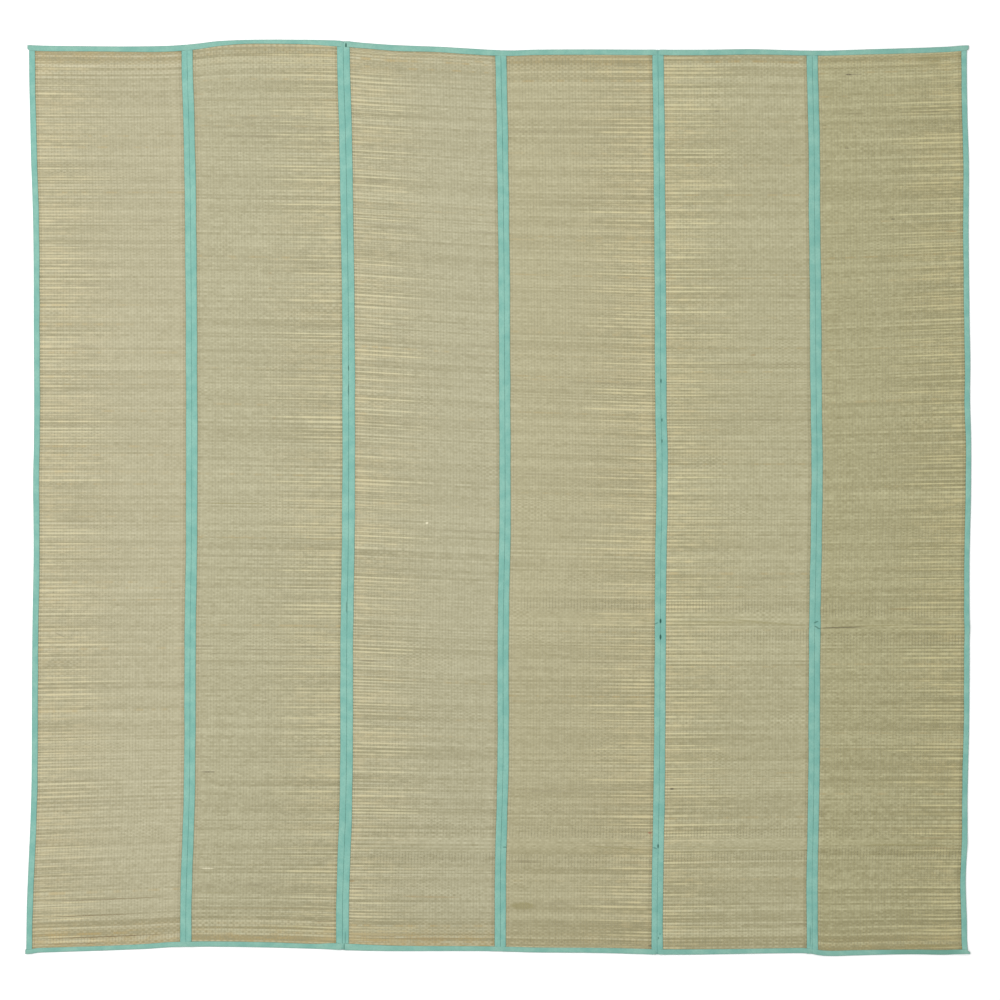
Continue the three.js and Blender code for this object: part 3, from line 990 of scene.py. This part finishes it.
def side_tape(panel, on_right, material):
    """A tape folded over the left or right edge of a panel."""
    line = LINES[panel + on_right]
    edge = right_x if on_right else left_x
    towards = -1 if on_right else 1
    at_seam = line not in (LINES[0], LINES[-1])
    pulled = GAP / 2 - SEAM_GAP / 2 if at_seam else 0
    fold_shade_share = SEAM_SHADE_SHARE if at_seam else 1
    share = np.linspace(0, 1, round(2 * HALF_LENGTH / TAPE_STEP) + 1)
    rough_x = edge(panel, mix(-HALF_LENGTH, HALF_LENGTH, share))
    y = mix(foot_y(rough_x) + LAP, head_y(rough_x) - LAP, share)
    edge_x = edge(panel, y)
    seed = 10 * panel + on_right
    reach = line.tape + ripple(seed + 100, REACH_RIPPLE)(y)
    fold_depth = line.fold + ripple(seed + 200, FOLD_RIPPLE)(y)
    puff = ripple(seed + 300, PUFF_RIPPLE)(y)
    ring = []
    fold = []
    for inward, level in tape_rings(FOLDED + 0 * y, reach, fold_depth):
        x = edge_x + towards * (inward - pulled)
        over = np.where(level > FOLDED / 2, puff - hem(inward / reach), 0)
        ring.append(metres(x, y, crease_lift(x, y) + end_lift(x, y) + level + over))
        # How strongly the painted shade of the fold darkens each point
        fold.append(near_fold(inward) * fold_shade_share)
    name = f"tape_{panel + 1}_{'right' if on_right else 'left'}"
    return closed_tape(name, ring, fold, not on_right, material)


# At the ends, seam by seam: how deep the seam shows in the end tape, and how far its edge is drawn in there
Dent = namedtuple("Dent", "deep drawn_in")
HEAD_DENTS = [Dent(0.5, 0), Dent(1.7, 3), Dent(0.6, 0), Dent(1.7, 4), Dent(0.5, 0)]
FOOT_DENTS = [Dent(0.6, 0), Dent(1.5, 1), Dent(0.6, 0), Dent(1.5, 1), Dent(0.9, 0)]
DENT_REACH = 2.4

# The ears at the four corners: how far they stand out, and how much narrower the tape is at its end
Ear = namedtuple("Ear", "out narrowing")
HEAD_EARS = [Ear(2.6, 0.3), Ear(3.2, 0.25)]
FOOT_EARS = [Ear(1.4, 0.05), Ear(4.5, 0.6)]
EAR_REACH = 7
EAR_RINGS = 5

# On both sides of a seam an end tape has a ring of points each millimetre, this far
FINE_REACH = 9

# How deep an end tape's fold is rounded
END_FOLD = 1.1


def end_tape(at_head, material):
    """The tape folded over all the panels' ends, higher over the side tapes."""
    near, edge, towards = (HALF_LENGTH, head_y, -1) if at_head else (-HALF_LENGTH, foot_y, 1)
    ears = HEAD_EARS if at_head else FOOT_EARS
    low, high = left_x(0, near) - ears[0].out, right_x(PANELS - 1, near) + ears[1].out
    seams = [float(line_x(line, near)) for line in LINES[1:-1]]
    into_ear = np.linspace(1, EAR_REACH, EAR_RINGS)
    places = [np.linspace(low, high, round((high - low) / TAPE_STEP) + 1), low + into_ear, high - into_ear]
    places += [seam + np.linspace(-FINE_REACH, FINE_REACH, 2 * FINE_REACH + 1) for seam in seams]
    x = np.unique(np.round(np.concatenate(places), 2))

    # What lies in its fold: the straw over the side tapes, and in the ears one lap alone
    under = np.zeros(len(x))
    for panel in range(PANELS):
        inside = (x >= line_x(LINES[panel], near)) & (x <= line_x(LINES[panel + 1], near))
        under = np.where(inside, side_lift(panel, x, near), under)
    under = np.where((x < left_x(0, near)) | (x > right_x(PANELS - 1, near)), LAP, under)
    height = FOLDED + 2 * under

    seed = 900 + at_head
    reach = curve(HEAD_REACH if at_head else FOOT_REACH)(x)
    for end, ear in ((low, ears[0]), (high, ears[1])):
        reach = reach * (1 - ear.narrowing * smooth(1 - np.abs(x - end) / EAR_REACH, 0, 1))
    fold_depth = END_FOLD + ripple(seed + 20, END_FOLD_RIPPLE)(x)
    puff = ripple(seed + 40, END_PUFF_RIPPLE)(x)
    edge_y = edge(x)
    for seam, dent in zip(seams, HEAD_DENTS if at_head else FOOT_DENTS):
        near_seam = np.exp(-(((x - seam) / DENT_REACH) ** 2))
        puff = puff - dent.deep * near_seam
        edge_y = edge_y + towards * dent.drawn_in * near_seam
    ring = []
    fold = []
    for inward, level in tape_rings(height, reach, fold_depth):
        over = np.where(level > height / 2, puff - hem(inward / reach), 0)
        ring.append(metres(x, edge_y + towards * inward, level + over))
        # How strongly the painted shade of the fold darkens each point, at the fold and at the tape's two
        # ends
        fold.append(np.maximum(near_fold(inward), near_fold(np.minimum(x - low, high - x))))
    return closed_tape("tape_head" if at_head else "tape_foot", ring, fold, at_head, material)


def bind(tape, node):
    """Attaches a tape, which stands for a node, to the root body and hides that node."""
    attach(tape, "root")
    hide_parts(node)


# The mat
weave = weave_tree()
thread = thread_finish()
cloth = tape_finish("tape_cloth", SIDE_LOOK, TAPE_MARKS)
end_cloth = tape_finish("end_tape_cloth", END_LOOK, END_MARKS)
for panel in range(PANELS):
    woven = grow(
        f"woven_{panel + 1}", weave, Straws=STRAWS, Warps=warp_count(panel), Thickness=STRAW,
        Seed=float(17 * panel + 3), Straw=straw_finish(panel), Thread=thread,
        **{
            "Straw Steps": STRAW_STEPS, "Warp Steps": WARP_STEPS, "Warp Radius": WARP_RADIUS,
            "Warp Share": WARP_RADIUS / WARP_PITCH, "Coarse Right": float(panel % 2),
        },
    )
    lay_panel(woven, panel)
    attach(woven, "root")
    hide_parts(f"panel_{panel + 1}")
    for on_right in (False, True):
        tape = side_tape(panel, on_right, cloth)
        node = f"binding_{panel + 1}_{'right' if on_right else 'left'}"
        bind(tape, node)
for at_head in (False, True):
    node = "binding_head" if at_head else "binding_foot"
    bind(end_tape(at_head, end_cloth), node)

# The floor, the light and the camera, in metres but for the lens and its sensor
FLOOR_SIDE = 14
FLOOR_DROP = 0.2 * MM
FLOOR_WHITE = (0.93, 0.93, 0.93, 1)
WORLD_STRENGTH = 0.75
SOFTBOX_SIDE = 2.4
SOFTBOX_WATTS = 96
SOFTBOX_PLACE = (-1.0, 0.55, 3.4)
LENS = 85
SENSOR = 36

floor_mesh = bpy.data.meshes.new("floor")
corners = [(FLOOR_SIDE / 2 * x, FLOOR_SIDE / 2 * y, 0) for x, y in ((-1, -1), (1, -1), (1, 1), (-1, 1))]
floor_mesh.from_pydata(corners, [], [(0, 1, 2, 3)])
floor = shown("floor", floor_mesh)
floor.location.z = -FLOOR_DROP
material, finish, shader = new_finish("floor_white")
feed(finish, shader, Base_Color=FLOOR_WHITE, Roughness=0.9)
floor_mesh.materials.append(material)

world = bpy.data.worlds.new("studio")
bpy.context.scene.world = world
world.use_nodes = True
background = world.node_tree.nodes["Background"]
background.inputs["Color"].default_value = (1, 1, 1, 1)
background.inputs["Strength"].default_value = WORLD_STRENGTH

light = bpy.data.lights.new("softbox", "AREA")
light.shape = "SQUARE"
light.size = SOFTBOX_SIDE
light.energy = SOFTBOX_WATTS
softbox = bpy.data.objects.new("softbox", light)
softbox.location = SOFTBOX_PLACE
softbox.rotation_euler = (-Vector(SOFTBOX_PLACE)).to_track_quat("-Z", "Y").to_euler()
bpy.context.collection.objects.link(softbox)

# The camera looks straight down on the middle of the photograph, with the photograph's width in its view
view_width = PHOTO_SIDE * PHOTO_MM * MM
camera_data = bpy.data.cameras.new("camera")
camera_data.lens = LENS
camera_data.sensor_width = SENSOR
camera = bpy.data.objects.new("camera", camera_data)
aim_x, aim_y = metres(*photo_place(PHOTO_SIDE / 2, PHOTO_SIDE / 2), 0)[:2]
camera.location = (aim_x, aim_y, view_width * LENS / SENSOR + FOLDED * MM)
bpy.context.collection.objects.link(camera)
bpy.context.scene.camera = camera
bpy.context.scene.view_settings.view_transform = "Standard"
